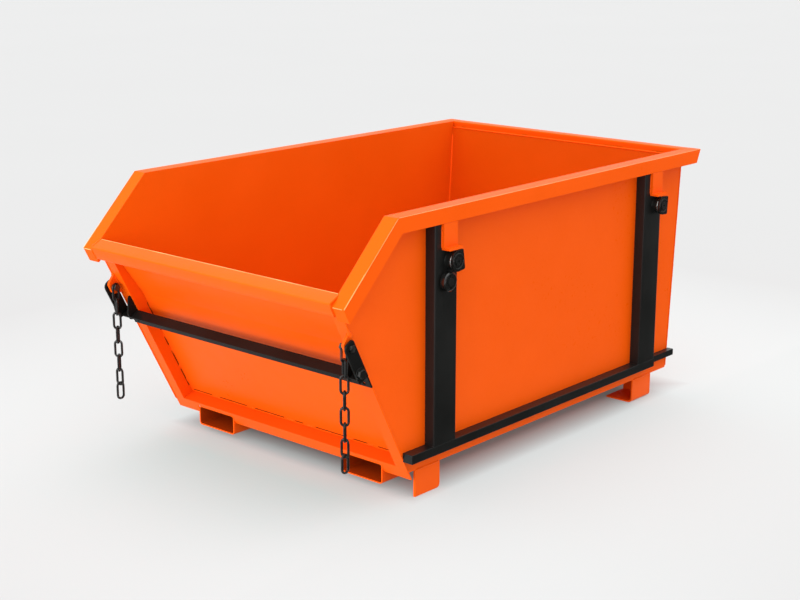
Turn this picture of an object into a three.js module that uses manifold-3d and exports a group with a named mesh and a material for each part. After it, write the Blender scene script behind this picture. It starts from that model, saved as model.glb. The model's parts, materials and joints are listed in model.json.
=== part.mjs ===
// Waste hopper bin: an open steel hopper with a sloped front, fork pockets, side rails,
// a swinging front bail and two interlocked chains.
// Millimetres, +Z up, +X to the right, and the sloped front faces -Y.
// Lengths along the bin are given from the bend of the top rim, and the whole
// assembly is centred over the floor at the end.
import * as THREE from "three";
import { mergeVertices } from "three/addons/utils/BufferGeometryUtils.js";
import Module from "manifold-3d";

const wasm = await Module();
wasm.setup();

// Hopper shell
const outsideWidth = 1100;
const halfWidth = outsideWidth / 2;
const sheet = 4;
const rimHeight = 922;
const floorHeight = 90;
const floorRearY = 1588;
const rearTopY = 1640;
const rearWallDrop = 22;

// Sloped front, measured along the slope from its top or foot and out from its face
const slopeFootY = 119;
const slopeFootZ = 62;
const slopeAngle = THREE.MathUtils.degToRad(27);
const lipDrop = 45;
const panelRecess = 45;
const panelBendDrop = 231;
const panelBendRadius = 90;
const panelTopLap = 6;
const flangeWidth = 47;
const crossFlangeHeight = 47;

// Square rim tubes
const rimSize = 50;
const rimWall = 3;
const rimCornerRadius = 5;
const rimCutAngle = THREE.MathUtils.degToRad(45);
const rimEndStandoff = 25;
const rimRearSlant = 22;
const lipStandoff = 28;
const drainRadius = 5;
const drainInset = 30;

// Fork pockets
const forkSideGap = 114;
const forkWidth = 180;
const forkBottom = 20;
const forkWall = 5;
const forkCornerRadius = 12;
const forkFrontY = 110;
const forkRearSetback = 20;

// Feet
const footLength = 120;
const footThickness = 8;
const frontFootY = 137;
const leftFootSetback = 104;
const frontFootRadius = 14;
const rearFootY = 1368;
const rearFootThickness = 6;
const rearFootRadius = 18;

// Side rails and posts
const postDepth = 40;
const postWidth = 105;
const postWall = 4;
const postRadius = 6;
const frontPostY = 183;
const rearPostY = 1342;
const railBottom = 134;
const railHeight = 30;
const railWall = 3;
const railFrontY = 78;
const leftRailSetback = 44;
const stubRise = 7;
const stubDepth = 24;
const stubBoreLap = 20;
const stubRearY = 1605;

// Hanger brackets, keepers and rollers on the posts
const bracketOffset = 28;
const bracketWidth = 65;
const bracketThickness = 10;
const bracketFootReach = 22;
const bracketFootThickness = 7;
const bracketHeight = 82;
const keeperPivotDrop = 120;
const keeperPivotOffset = 72;
const bossRadius = 29;
const bossHeight = 22;
const keeperThickness = 8;
const keeperFront = 26;
const keeperRear = 29;
const keeperHalfHeight = 33;
const keeperRoundRadius = 25;
const keeperCornerRadius = 6;
const keeperTiltDegrees = { front: 8, rear: -4 };
const spigotRadius = 9;
const spigotBore = 4;
const spigotBoreDepth = 6;
const retainerRadius = 13;
const retainerThickness = 2;
const rollerPivotDrop = 182;
const rollerPivotOffset = 47;
const rollerRadius = 31;
const rollerWidth = 20;
const rollerChamfer = 2.5;
const rollerFaceHoleRadius = 3.5;
const rollerFaceHoleDepth = 5;
const rollerFaceHolePitch = 19;
const axleRadius = 8;
const rollerStandoff = 2;

// Bail with its clevis plates, measured on the slope
const pivotDrop = 163;
const pivotOut = 23;
const pinRadius = 7;
const pinHeadRadius = 12;
const pinHeadThickness = 7;
const pinHeadSides = 6;
const lugThickness = 10;
const lugInset = 2;
const lugBase = 76;
const lugTopLength = 40;
const lugOut = 38;
const lugRadius = 15;
const barDrop = 112;
const barHeight = 60;
const barShelf = 40;
const barThickness = 5;
const barRootRadius = 4;
const cheekThickness = 7;
const outerCheekStandoff = 3;
const innerCheekInset = 36;
const innerCheekHeight = 62;
const innerCheekTop = 8;
const innerCheekRise = 12;
const cheekOut = 47;
const cheekRearOut = 4;
const cheekAbovePivot = 21;
const cheekRoundRadius = 20;
const cheekRearRadius = 9;
const cheekLap = 9;
const gussetDepth = 30;
const tabHoleRadius = 6;
const tabHoleInset = 26;
const tabHoleDrop = 47;

// Chains
const chainInset = 20;
const chainLinks = 8;
const linkWire = 7;
const linkWidth = 30;
const linkPitch = 49.5;
const linkTurnDegrees = [90, 152, 220, 308, 398, 488, 553, 623];

// Fits and cutting
const clearance = 0.3;
const overrun = 10;
const arcSteps = 4;
const roundSides = 24;
const wireSides = 8;
const linkArcSteps = 8;

const ORANGE = { color: 0xfa621a, roughness: 0.42, metalness: 0.1 };
const BLACK = { color: 0x2d2e2b, roughness: 0.5, metalness: 0.2 };
const PLATED = { color: 0x6f6f6a, roughness: 0.35, metalness: 0.9 };

const insideHalf = halfWidth - sheet;
const SIDES = [["left", -1], ["right", 1]];

const model = new THREE.Group();

// Turns a three.js geometry into a solid that can be joined and cut.
function toSolid(geometry) {
  geometry.deleteAttribute("normal");
  geometry.deleteAttribute("uv");
  const merged = mergeVertices(geometry);
  const mesh = new wasm.Mesh({
    numProp: 3,
    vertProperties: new Float32Array(merged.attributes.position.array),
    triVerts: new Uint32Array(merged.index.array),
  });
  return new wasm.Manifold(mesh);
}

// Adds a solid to the model as one named mesh with its own material.
function addPiece(name, solid, finish) {
  const { vertProperties, triVerts } = solid.getMesh();
  const geometry = new THREE.BufferGeometry();
  geometry.setAttribute("position", new THREE.BufferAttribute(new Float32Array(vertProperties), 3));
  geometry.setIndex(new THREE.BufferAttribute(new Uint32Array(triVerts), 1));
  const mesh = new THREE.Mesh(geometry, new THREE.MeshStandardMaterial(finish));
  mesh.name = name;
  model.add(mesh);
  return mesh;
}

const X = new THREE.Vector3(1, 0, 0);
const Y = new THREE.Vector3(0, 1, 0);
const Z = new THREE.Vector3(0, 0, 1);

// Extrudes an outline between two places on an axis. Along x the outline is given
// in (y, z), along y in (x, z) and along z in (x, y).
function prism(points, ends, axis = "x") {
  const [low, high] = ends.toSorted((a, b) => a - b);
  const shape = new THREE.Shape(points.map(([a, b]) => new THREE.Vector2(a, b)));
  const geometry = new THREE.ExtrudeGeometry(shape, { depth: high - low, bevelEnabled: false });
  geometry.translate(0, 0, axis === "y" ? -high : low);
  const bases = { x: [Y, Z, X], y: [X, Z, Y.clone().negate()], z: [X, Y, Z] };
  geometry.applyMatrix4(new THREE.Matrix4().makeBasis(...bases[axis]));
  return toSolid(geometry);
}

function rectangle(a0, a1, b0, b1) {
  return [[a0, b0], [a1, b0], [a1, b1], [a0, b1]];
}

function circle([a, b], radius, sides = roundSides) {
  return Array.from({ length: sides }, (_, i) => {
    const angle = (i / sides) * 2 * Math.PI;
    return [a + radius * Math.cos(angle), b + radius * Math.sin(angle)];
  });
}

// Rounds the corners of an outline with arcs, with one radius or one for each corner.
function rounded(points, radii) {
  return points.flatMap((point, i) => {
    const radius = Array.isArray(radii) ? radii[i] : radii;
    if (radius === 0) return [point];
    const corner = new THREE.Vector2(...point);
    const before = new THREE.Vector2(...points.at(i - 1)).sub(corner).normalize();
    const after = new THREE.Vector2(...points[(i + 1) % points.length]).sub(corner).normalize();
    const half = Math.acos(before.dot(after)) / 2;
    const inward = before.clone().add(after).normalize();
    const centre = corner.clone().addScaledVector(inward, radius / Math.sin(half));
    const reach = radius / Math.tan(half);
    const start = corner.clone().addScaledVector(before, reach).sub(centre);
    const end = corner.clone().addScaledVector(after, reach).sub(centre);
    const turn = Math.atan2(start.cross(end), start.dot(end));
    return Array.from({ length: arcSteps + 1 }, (_, step) => {
      const arm = start.clone().rotateAround(new THREE.Vector2(), (turn * step) / arcSteps);
      return [centre.x + arm.x, centre.y + arm.y];
    });
  });
}

// Moves every edge of an outline inwards by one distance.
function inset(points, distance) {
  const corners = points.map(([a, b]) => new THREE.Vector2(a, b));
  const side = Math.sign(THREE.ShapeUtils.area(corners));
  const inwards = (from, to) => {
    const along = to.clone().sub(from).normalize();
    return new THREE.Vector2(-along.y, along.x).multiplyScalar(side);
  };
  return corners.map((corner, i) => {
    const before = inwards(corners.at(i - 1), corner);
    const after = inwards(corner, corners[(i + 1) % corners.length]);
    const step = distance / (1 + before.dot(after));
    const moved = corner.clone().add(before.add(after).multiplyScalar(step));
    return [moved.x, moved.y];
  });
}

// The place on the side view, as (y, z), of a point up the slope and out from its face.
const slopeUp = [-Math.sin(slopeAngle), Math.cos(slopeAngle)];
const slopeOut = [-Math.cos(slopeAngle), -Math.sin(slopeAngle)];
function onSlope(up, out) {
  return [
    slopeFootY + up * slopeUp[0] + out * slopeOut[0],
    slopeFootZ + up * slopeUp[1] + out * slopeOut[1],
  ];
}

// How far up the slope a point at a given height lies, for a given standoff.
function upAtHeight(z, out) {
  return (z - slopeFootZ - out * slopeOut[1]) / slopeUp[1];
}

// Where the line of the rim's sloped part, moved down square to itself by a depth,
// meets the plane that stands off the sloped front by a distance.
const rimSlope = Math.tan(rimCutAngle);
function rimSlopeEnd(depth, out) {
  const lineAtBend = rimHeight - depth / Math.cos(rimCutAngle);
  const [faceY, faceZ] = onSlope(0, out);
  const faceRun = slopeUp[0] / slopeUp[1];
  const y = (faceY + (lineAtBend - faceZ) * faceRun) / (1 - rimSlope * faceRun);
  return [y, lineAtBend + rimSlope * y];
}

// Places up the slope that follow its top, where the rim's sloped part ends.
const slopeTop = upAtHeight(rimSlopeEnd(0, 0)[1], 0);
const lipBottom = slopeTop - lipDrop;
const panelBend = slopeTop - panelBendDrop;
const pivotUp = slopeTop - pivotDrop;
const barTop = pivotUp - barDrop;

const rearRun = (rearTopY - floorRearY) / (rimHeight - floorHeight);
const rearAt = (z) => floorRearY + (z - floorHeight) * rearRun;

// An outline given up the slope and out from its face, extruded across the bin.
function slopePrism(points, ends) {
  return prism(points.map(([up, out]) => onSlope(up, out)), ends);
}

// A round bar across the bin about a point of the side view.
function rod(centre, radius, ends, sides = roundSides) {
  return prism(circle(centre, radius, sides), ends);
}

// A pair of places across the bin, on one side of it.
function across(sign, near, far) {
  return [sign * near, sign * far];
}

// Hopper shell: two sides, floor, rear wall and a front panel that is set back from
// the face of the sloped front and flares out to the lip.
const floorTop = floorHeight + sheet;
const rimUnder = rimHeight - rimSize;
const panelTopOut = lipStandoff - rimSize + panelTopLap;

function sidePlateOutline() {
  return [
    onSlope(upAtHeight(floorHeight, 0), 0),
    [floorRearY, floorHeight],
    [rearTopY, rimHeight],
    [0, rimHeight],
    rimSlopeEnd(0, 0),
  ];
}

// The front panel's outer face, from a height up to the lip, moved outwards by a gap.
function panelFace(footZ, gap) {
  const foot = upAtHeight(footZ, gap - panelRecess);
  return [
    [foot, gap - panelRecess],
    [panelBend, gap - panelRecess],
    [lipBottom - clearance, panelTopOut + gap],
  ];
}

function frontPanelOutline() {
  const outer = panelFace(floorTop, 0);
  const inner = panelFace(floorTop, -sheet).reverse();
  return rounded([...outer, ...inner], [0, panelBendRadius, 0, 0, panelBendRadius, 0]);
}

function addShell() {
  for (const [side, sign] of SIDES) {
    const plate = prism(sidePlateOutline(), across(sign, insideHalf, halfWidth));
    addPiece(`side_plate_${side}`, plate, ORANGE);
  }
  const between = [-insideHalf, insideHalf];
  const floorFrontY = onSlope(upAtHeight(floorHeight, -panelRecess), -panelRecess)[0];
  const floor = rectangle(floorFrontY, floorRearY, floorHeight, floorTop);
  addPiece("floor_plate", prism(floor, between), ORANGE);
  const wallTop = rimHeight - rearWallDrop;
  const wall = [
    [rearAt(floorTop), floorTop],
    [rearAt(wallTop), wallTop],
    [rearAt(wallTop) - sheet, wallTop],
    [rearAt(floorTop) - sheet, floorTop],
  ];
  addPiece("rear_wall", prism(wall, between), ORANGE);
  addPiece("front_panel", slopePrism(frontPanelOutline(), between), ORANGE);
}

// Flanges round the sloped front: an angle up each side and one across the foot, which
// is notched over the mouths of the fork pockets.
const flangeInner = halfWidth - flangeWidth;
const forkOuter = halfWidth - forkSideGap;
const forkInner = forkOuter - forkWidth;

function addFrontFlanges() {
  const low = crossFlangeHeight + clearance;
  const high = lipBottom - clearance;
  for (const [side, sign] of SIDES) {
    const strip = [[low, 0], [high, 0], [high, -sheet], [low, -sheet]];
    const backEdge = panelFace(floorTop, clearance).toReversed();
    backEdge[backEdge.length - 1] = [low, clearance - panelRecess];
    const web = rounded([[low, 0], [high, 0], ...backEdge], [0, 0, 0, panelBendRadius, 0]);
    const flange = slopePrism(strip, across(sign, flangeInner, insideHalf))
      .add(slopePrism(web, across(sign, flangeInner, flangeInner + sheet)));
    addPiece(`front_flange_${side}`, flange, ORANGE);
  }
  const back = clearance - panelRecess;
  const angle = [
    [0, 0],
    [crossFlangeHeight, 0],
    [crossFlangeHeight, back],
    [crossFlangeHeight - sheet, back],
    [crossFlangeHeight - sheet, -sheet],
    [0, -sheet],
  ];
  const tipTop = upAtHeight(floorHeight - clearance, -sheet);
  const tips = [[0, 0], [tipTop, 0], [tipTop, -sheet], [0, -sheet]];
  let flange = slopePrism(angle, [-insideHalf, insideHalf])
    .add(slopePrism(tips, [-halfWidth, halfWidth]));
  for (const [, sign] of SIDES) {
    const notch = rectangle(-overrun, floorRearY, -overrun, floorHeight + clearance);
    const width = across(sign, forkInner - clearance, forkOuter + clearance);
    flange = flange.subtract(prism(notch, width));
  }
  addPiece("bottom_cross_flange", flange, ORANGE);
}

// Square rim tubes: one side rim runs straight and then down to the lip in one piece.
const rearRimY = rearTopY + clearance;
const rimRearY = rearRimY + rimSize;

function addRims() {
  const outline = [
    [rimRearY, rimHeight],
    [0, rimHeight],
    rimSlopeEnd(0, rimEndStandoff),
    rimSlopeEnd(rimSize, rimEndStandoff),
    [(rimSize / Math.cos(rimCutAngle) - rimSize) / rimSlope, rimUnder],
    [rimRearY - rimRearSlant, rimUnder],
  ];
  for (const [side, sign] of SIDES) {
    const hollow = across(sign, halfWidth + rimWall, halfWidth + rimSize - rimWall);
    const drainX = sign * (halfWidth + rimSize / 2);
    const drainY = rimRearY - rimRearSlant - drainInset;
    const throughUnderside = [rimUnder - overrun, rimUnder + overrun];
    const drain = prism(circle([drainX, drainY], drainRadius), throughUnderside, "z");
    const rim = prism(outline, across(sign, halfWidth, halfWidth + rimSize))
      .subtract(prism(inset(outline, rimWall), hollow))
      .subtract(drain);
    addPiece(`side_rim_${side}`, rim, ORANGE);
  }
  const rearSection = rounded(rectangle(rearRimY, rimRearY, rimUnder, rimHeight), rimCornerRadius);
  addPiece("rear_rim", hollowBar(rearSection, rimWall, halfWidth), ORANGE);
  const lipBack = lipStandoff - rimSize;
  const lipSquare = rectangle(lipBottom, lipBottom + rimSize, lipBack, lipStandoff);
  const lipSection = rounded(lipSquare, rimCornerRadius).map(([up, out]) => onSlope(up, out));
  const aroundSide = [
    [lipBottom - overrun, lipBack - overrun],
    [lipBottom + rimSize + overrun, lipBack - overrun],
    [lipBottom + rimSize + overrun, clearance],
    [lipBottom - overrun, clearance],
  ];
  let lip = hollowBar(lipSection, rimWall, halfWidth - clearance);
  for (const [, sign] of SIDES) {
    const notch = across(sign, insideHalf - clearance, halfWidth + overrun);
    lip = lip.subtract(slopePrism(aroundSide, notch));
  }
  addPiece("front_lip_tube", lip, ORANGE);
}

// A tube across the bin, open at both ends, of one section and wall.
function hollowBar(section, wall, reach) {
  const bore = prism(inset(section, wall), [-reach - overrun, reach + overrun]);
  return prism(section, [-reach, reach]).subtract(bore);
}

// Fork pockets: rounded tubes under the floor, open at both ends.
function addForkTubes() {
  const rearY = floorRearY - forkRearSetback;
  for (const [side, sign] of SIDES) {
    const box = rectangle(sign * forkInner, sign * forkOuter, forkBottom, floorHeight);
    const section = rounded(box, forkCornerRadius);
    const tube = prism(section, [forkFrontY, rearY], "y")
      .subtract(prism(inset(section, forkWall), [forkFrontY - overrun, rearY + overrun], "y"));
    addPiece(`fork_tube_${side}`, tube, ORANGE);
  }
}

// Feet: a plain plate at the front, set further back on the left, and at the rear a folded
// shoe closed at its back.
function addFeet() {
  for (const [side, sign] of SIDES) {
    const footY = sign < 0 ? frontFootY + leftFootSetback : frontFootY;
    const plate = rounded(rectangle(footY, footY + footLength, 0, floorHeight), [0, frontFootRadius, 0, 0]);
    const frontFoot = prism(plate, across(sign, halfWidth - footThickness, halfWidth));
    addPiece(`front_foot_${side}`, frontFoot, ORANGE);

    const inner = sign * (forkOuter + clearance);
    const outer = sign * halfWidth;
    const wall = sign * (halfWidth - rearFootThickness);
    const rearY = rearFootY + footLength;
    const fold = rounded(
      [
        [outer, floorHeight],
        [outer, 0],
        [inner, 0],
        [inner, rearFootThickness],
        [wall, rearFootThickness],
        [wall, floorHeight],
      ],
      [0, rearFootRadius, 0, 0, rearFootRadius - rearFootThickness, 0],
    );
    const back = rounded(rectangle(inner, outer, 0, floorHeight), [0, rearFootRadius, 0, 0]);
    const shoe = prism(fold, [rearFootY, rearY], "y")
      .add(prism(back, [rearY - rearFootThickness, rearY], "y"));
    addPiece(`rear_foot_${side}`, shoe, ORANGE);
  }
}

// Side rails: a slim tube under the posts and flush with them, with a smaller stub behind.
// The left one starts further back.
const railTop = railBottom + railHeight;
const postOuter = halfWidth + postDepth;
const POSTS = [["front", frontPostY], ["rear", rearPostY]];

function addRails() {
  const stubFrontY = rearPostY + postWidth;
  const stubBottom = railBottom + stubRise;
  const stub = rectangle(stubFrontY - overrun, stubRearY, stubBottom, railTop);
  const stubBore = rectangle(
    stubFrontY - stubBoreLap,
    stubRearY + overrun,
    stubBottom + railWall,
    railTop - railWall,
  );
  const bodyInside = [halfWidth + railWall, postOuter - railWall];
  const stubInside = [halfWidth + railWall, halfWidth + stubDepth - railWall];
  for (const [side, sign] of SIDES) {
    const frontY = sign < 0 ? railFrontY + leftRailSetback : railFrontY;
    const body = rectangle(frontY, stubFrontY, railBottom, railTop);
    const bore = inset(rectangle(frontY - overrun, stubFrontY, railBottom, railTop), railWall);
    const rail = prism(body, across(sign, halfWidth, postOuter))
      .add(prism(stub, across(sign, halfWidth, halfWidth + stubDepth)))
      .subtract(prism(bore, across(sign, ...bodyInside)))
      .subtract(prism(stubBore, across(sign, ...stubInside)));
    addPiece(`side_rail_${side}`, rail, BLACK);
  }
}

// Posts: channels open towards the wall that stand on the rails, each with a boss and
// spigot for its keeper, and at the front a short axle for a roller.
const bossEnd = postOuter + bossHeight;
const keeperEnd = bossEnd + clearance + keeperThickness;
const rollerStart = postOuter + rollerStandoff;
const rollerEnd = rollerStart + rollerWidth;

function postChannel(sign, frontY) {
  const rearY = frontY + postWidth;
  const wall = sign * halfWidth;
  const outer = sign * postOuter;
  const web = sign * (postOuter - postWall);
  const inside = postRadius - postWall;
  const section = rounded(
    [
      [wall, frontY],
      [outer, frontY],
      [outer, rearY],
      [wall, rearY],
      [wall, rearY - postWall],
      [web, rearY - postWall],
      [web, frontY + postWall],
      [wall, frontY + postWall],
    ],
    [0, postRadius, postRadius, 0, 0, inside, inside, 0],
  );
  return prism(section, [railTop, rimUnder], "z");
}

// A stub shaft that starts inside the post's web, with a retaining disc past the end of
// what turns on it.
function shaft(sign, centre, radius, end) {
  const root = postOuter - postWall / 2;
  const disc = across(sign, end + clearance, end + clearance + retainerThickness);
  return rod(centre, radius, across(sign, root, end + clearance + retainerThickness))
    .add(rod(centre, retainerRadius, disc));
}

function addPosts() {
  for (const [side, sign] of SIDES) {
    for (const [place, frontY] of POSTS) {
      const pivot = [frontY + keeperPivotOffset, rimUnder - keeperPivotDrop];
      const boreEnd = keeperEnd + clearance + retainerThickness;
      let post = postChannel(sign, frontY)
        .add(rod(pivot, bossRadius, across(sign, postOuter - postWall / 2, bossEnd)))
        .add(shaft(sign, pivot, spigotRadius, keeperEnd))
        .subtract(rod(pivot, spigotBore, across(sign, boreEnd - spigotBoreDepth, boreEnd + overrun)));
      if (place === "front") {
        const axle = [frontY + rollerPivotOffset, rimUnder - rollerPivotDrop];
        post = post.add(shaft(sign, axle, axleRadius, rollerEnd));
        addPiece(`track_roller_${side}`, roller(sign, axle), BLACK);
      }
      addPiece(`post_${place}_${side}`, post, BLACK);
      addKeeper(`keeper_${place}_${side}`, sign, pivot, keeperTiltDegrees[place]);
    }
  }
}

// A flat disc roller with bevelled edges, a bore and two blind holes in its face.
function roller(sign, [y, z]) {
  const bore = axleRadius + clearance;
  const edge = rollerRadius - rollerChamfer;
  const profile = [
    [bore, 0],
    [edge, 0],
    [rollerRadius, rollerChamfer],
    [rollerRadius, rollerWidth - rollerChamfer],
    [edge, rollerWidth],
    [bore, rollerWidth],
    [bore, 0],
  ].map(([radius, along]) => new THREE.Vector2(radius, along));
  const geometry = new THREE.LatheGeometry(profile, roundSides);
  geometry.rotateZ((-sign * Math.PI) / 2);
  geometry.translate(sign * rollerStart, y, z);
  let disc = toSolid(geometry);
  for (const offset of [rollerFaceHolePitch, -rollerFaceHolePitch]) {
    const ends = across(sign, rollerEnd - rollerFaceHoleDepth, rollerEnd + overrun);
    disc = disc.subtract(rod([y, z + offset], rollerFaceHoleRadius, ends));
  }
  return disc;
}

// A keeper: a plate that turns on its spigot, rounded at the front and square behind.
function addKeeper(name, sign, [y, z], tiltDegrees) {
  const plate = rounded(
    rectangle(-keeperFront, keeperRear, -keeperHalfHeight, keeperHalfHeight),
    [keeperRoundRadius, keeperCornerRadius, keeperCornerRadius, keeperRoundRadius],
  );
  const start = bossEnd + clearance;
  const bore = rod([0, 0], spigotRadius + clearance, across(sign, start - overrun, keeperEnd + overrun));
  const keeper = prism(plate, across(sign, start, keeperEnd)).subtract(bore);
  const mesh = addPiece(name, keeper, BLACK);
  mesh.position.set(0, y, z);
  mesh.rotation.x = THREE.MathUtils.degToRad(tiltDegrees);
}

// Hanger brackets: flat bars welded under the rim that lap over the posts, each with a
// foot that stands out above the keeper.
function addBrackets() {
  const face = postOuter + bracketThickness;
  const foot = rimUnder - bracketHeight;
  for (const [side, sign] of SIDES) {
    for (const [place, frontY] of POSTS) {
      const outline = [
        [postOuter, foot],
        [face + bracketFootReach, foot],
        [face + bracketFootReach, foot + bracketFootThickness],
        [face, foot + bracketFootThickness],
        [face, rimUnder],
        [postOuter, rimUnder],
      ].map(([x, z]) => [sign * x, z]);
      const start = frontY + bracketOffset;
      const bracket = prism(outline, [start, start + bracketWidth], "y");
      addPiece(`hanger_bracket_${place}_${side}`, bracket, ORANGE);
    }
  }
}

// Lugs on the sloped front, and the bail that swings on them: an angle bar with an outer
// cheek and a low inner plate at each end, and a headed pin through cheek, lug and chain.
const pivotPoint = onSlope(pivotUp, pivotOut);
const outerCheekX = halfWidth + outerCheekStandoff;
const innerCheekX = halfWidth - innerCheekInset - cheekThickness;
const chainX = halfWidth - chainInset;

function pivotPlate(points, radii, ends) {
  const plate = slopePrism(rounded(points, radii), ends);
  const [near, far] = ends.toSorted((a, b) => a - b);
  return plate.subtract(rod(pivotPoint, pinRadius + clearance, [near - overrun, far + overrun]));
}

function addLugs() {
  const baseHalf = lugBase / 2;
  const topHalf = lugTopLength / 2;
  const outline = [
    [pivotUp - baseHalf, clearance],
    [pivotUp + baseHalf, clearance],
    [pivotUp + topHalf, lugOut],
    [pivotUp - topHalf, lugOut],
  ];
  for (const [side, sign] of SIDES) {
    const ends = across(sign, halfWidth - lugInset - lugThickness, halfWidth - lugInset);
    addPiece(`pivot_lug_${side}`, pivotPlate(outline, [0, 0, lugRadius, lugRadius], ends), ORANGE);
  }
}

function addBail() {
  const shelfUnder = barTop - barThickness;
  const legOut = clearance + barThickness;
  const reach = outerCheekX - clearance;
  const section = rounded(
    [
      [barTop, clearance],
      [barTop, barShelf],
      [shelfUnder, barShelf],
      [shelfUnder, legOut],
      [barTop - barHeight, legOut],
      [barTop - barHeight, clearance],
    ],
    [0, 0, 0, barRootRadius, 0, 0],
  );
  let bar = slopePrism(section, [-reach, reach]);
  for (const [, sign] of SIDES) {
    const gusset = [
      [barTop - barThickness / 2, legOut - barThickness / 2],
      [barTop - barThickness / 2, barShelf],
      [shelfUnder - barThickness, barShelf],
      [shelfUnder - gussetDepth, legOut],
      [shelfUnder - gussetDepth, legOut - barThickness / 2],
    ];
    const hole = new THREE.CylinderGeometry(tabHoleRadius, tabHoleRadius, barShelf, roundSides);
    hole.rotateX(slopeAngle);
    hole.translate(sign * (outerCheekX - tabHoleInset), ...onSlope(barTop - tabHoleDrop, 0));
    bar = bar
      .add(slopePrism(gusset, across(sign, innerCheekX, innerCheekX + cheekThickness)))
      .subtract(toSolid(hole));
  }
  addPiece("bail_bar", bar, BLACK);

  const cheekTop = pivotUp + cheekAbovePivot;
  for (const [side, sign] of SIDES) {
    const outer = [
      [barTop - cheekLap, cheekRearOut],
      [cheekTop, cheekRearOut],
      [cheekTop, cheekOut],
      [barTop - cheekLap, cheekOut],
    ];
    const outerEnds = across(sign, outerCheekX, outerCheekX + cheekThickness);
    const outerRadii = [0, cheekRearRadius, cheekRoundRadius, 0];
    addPiece(`clevis_outer_${side}`, pivotPlate(outer, outerRadii, outerEnds), BLACK);

    const inner = [
      [barTop + clearance, clearance],
      [barTop + innerCheekHeight, clearance],
      [barTop + innerCheekHeight, innerCheekTop],
      [barTop + innerCheekRise, barShelf],
      [barTop + clearance, barShelf],
    ];
    const innerEnds = across(sign, innerCheekX, innerCheekX + cheekThickness);
    addPiece(`clevis_inner_${side}`, slopePrism(inner, innerEnds), BLACK);

    const headStart = outerCheekX + cheekThickness + clearance;
    const nutEnd = chainX - linkWire / 2 - clearance;
    const headEnd = headStart + pinHeadThickness;
    const nutStart = nutEnd - pinHeadThickness;
    const pin = rod(pivotPoint, pinRadius, across(sign, nutStart, headEnd))
      .add(rod(pivotPoint, pinHeadRadius, across(sign, headStart, headEnd), pinHeadSides))
      .add(rod(pivotPoint, pinHeadRadius, across(sign, nutStart, nutEnd), pinHeadSides));
    addPiece(`pivot_pin_${side}`, pin, PLATED);
  }
}

// Chains: long welded links, each threaded through the one above and turned across it.
// A link's centre line is two half rounds joined by straight sides.
const linkRadius = (linkWidth - linkWire) / 2;
const linkLength = linkPitch + linkWire + clearance;
const linkStraight = linkLength - 2 * linkRadius;

class LinkLine extends THREE.Curve {
  getPoint(share, target = new THREE.Vector3()) {
    const stations = 2 * (linkArcSteps + 1);
    const station = Math.round(share * stations) % stations;
    const bottom = station > linkArcSteps;
    const step = bottom ? station - linkArcSteps - 1 : station;
    const angle = (step / linkArcSteps) * Math.PI + (bottom ? Math.PI : 0);
    const end = bottom ? -linkStraight / 2 : linkStraight / 2;
    return target.set(linkRadius * Math.cos(angle), 0, end + linkRadius * Math.sin(angle));
  }

  getPointAt(share, target) {
    return this.getPoint(share, target);
  }

  getTangentAt(share, target = new THREE.Vector3()) {
    const stations = 2 * (linkArcSteps + 1);
    const before = this.getPoint(share - 1 / stations + 1);
    return target.copy(this.getPoint(share + 1 / stations)).sub(before).normalize();
  }
}

function addChains() {
  const stations = 2 * (linkArcSteps + 1);
  const wire = toSolid(new THREE.TubeGeometry(new LinkLine(), stations, linkWire / 2, wireSides, true));
  const [pivotY, pivotZ] = pivotPoint;
  const topWireZ = pivotZ + pinRadius + clearance + linkWire / 2;
  for (const [side, sign] of SIDES) {
    for (let i = 0; i < chainLinks; i++) {
      const link = addPiece(`chain_link_${side}_${i + 1}`, wire, BLACK);
      link.position.set(sign * chainX, pivotY, topWireZ - linkLength / 2 - i * linkPitch);
      link.rotation.z = THREE.MathUtils.degToRad(linkTurnDegrees[i]);
    }
  }
}

addShell();
addFrontFlanges();
addRims();
addForkTubes();
addFeet();
addRails();
addPosts();
addBrackets();
addLugs();
addBail();
addChains();

// The origin lies on the floor under the middle of the whole bin.
const wholeBin = new THREE.Box3().setFromObject(model);
model.position.y = -(wholeBin.min.y + wholeBin.max.y) / 2;

export default model;
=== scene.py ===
"""Looks of the waste hopper bin: paint, steel, weld beads, small fastener detail, light and camera."""
import json
import math
import random

import bmesh
import bpy
from mathutils import Euler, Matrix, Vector


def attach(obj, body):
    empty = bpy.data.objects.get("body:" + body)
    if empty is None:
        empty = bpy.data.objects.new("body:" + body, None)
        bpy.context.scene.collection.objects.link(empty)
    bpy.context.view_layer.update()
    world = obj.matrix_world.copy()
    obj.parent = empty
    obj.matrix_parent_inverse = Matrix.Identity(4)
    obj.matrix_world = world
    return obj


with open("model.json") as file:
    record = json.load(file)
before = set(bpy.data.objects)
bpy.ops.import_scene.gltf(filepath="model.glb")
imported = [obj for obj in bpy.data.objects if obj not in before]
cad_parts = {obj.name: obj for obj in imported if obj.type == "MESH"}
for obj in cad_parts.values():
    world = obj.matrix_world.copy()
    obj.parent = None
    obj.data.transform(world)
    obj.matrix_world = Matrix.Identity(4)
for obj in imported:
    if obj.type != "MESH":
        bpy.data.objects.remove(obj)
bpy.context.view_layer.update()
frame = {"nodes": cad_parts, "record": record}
nodes = frame["nodes"]
scene = bpy.context.scene
scene.view_settings.view_transform = "Standard"
scene.view_settings.look = "None"

SIDES = {"left": -1, "right": 1}


# Materials

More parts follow.
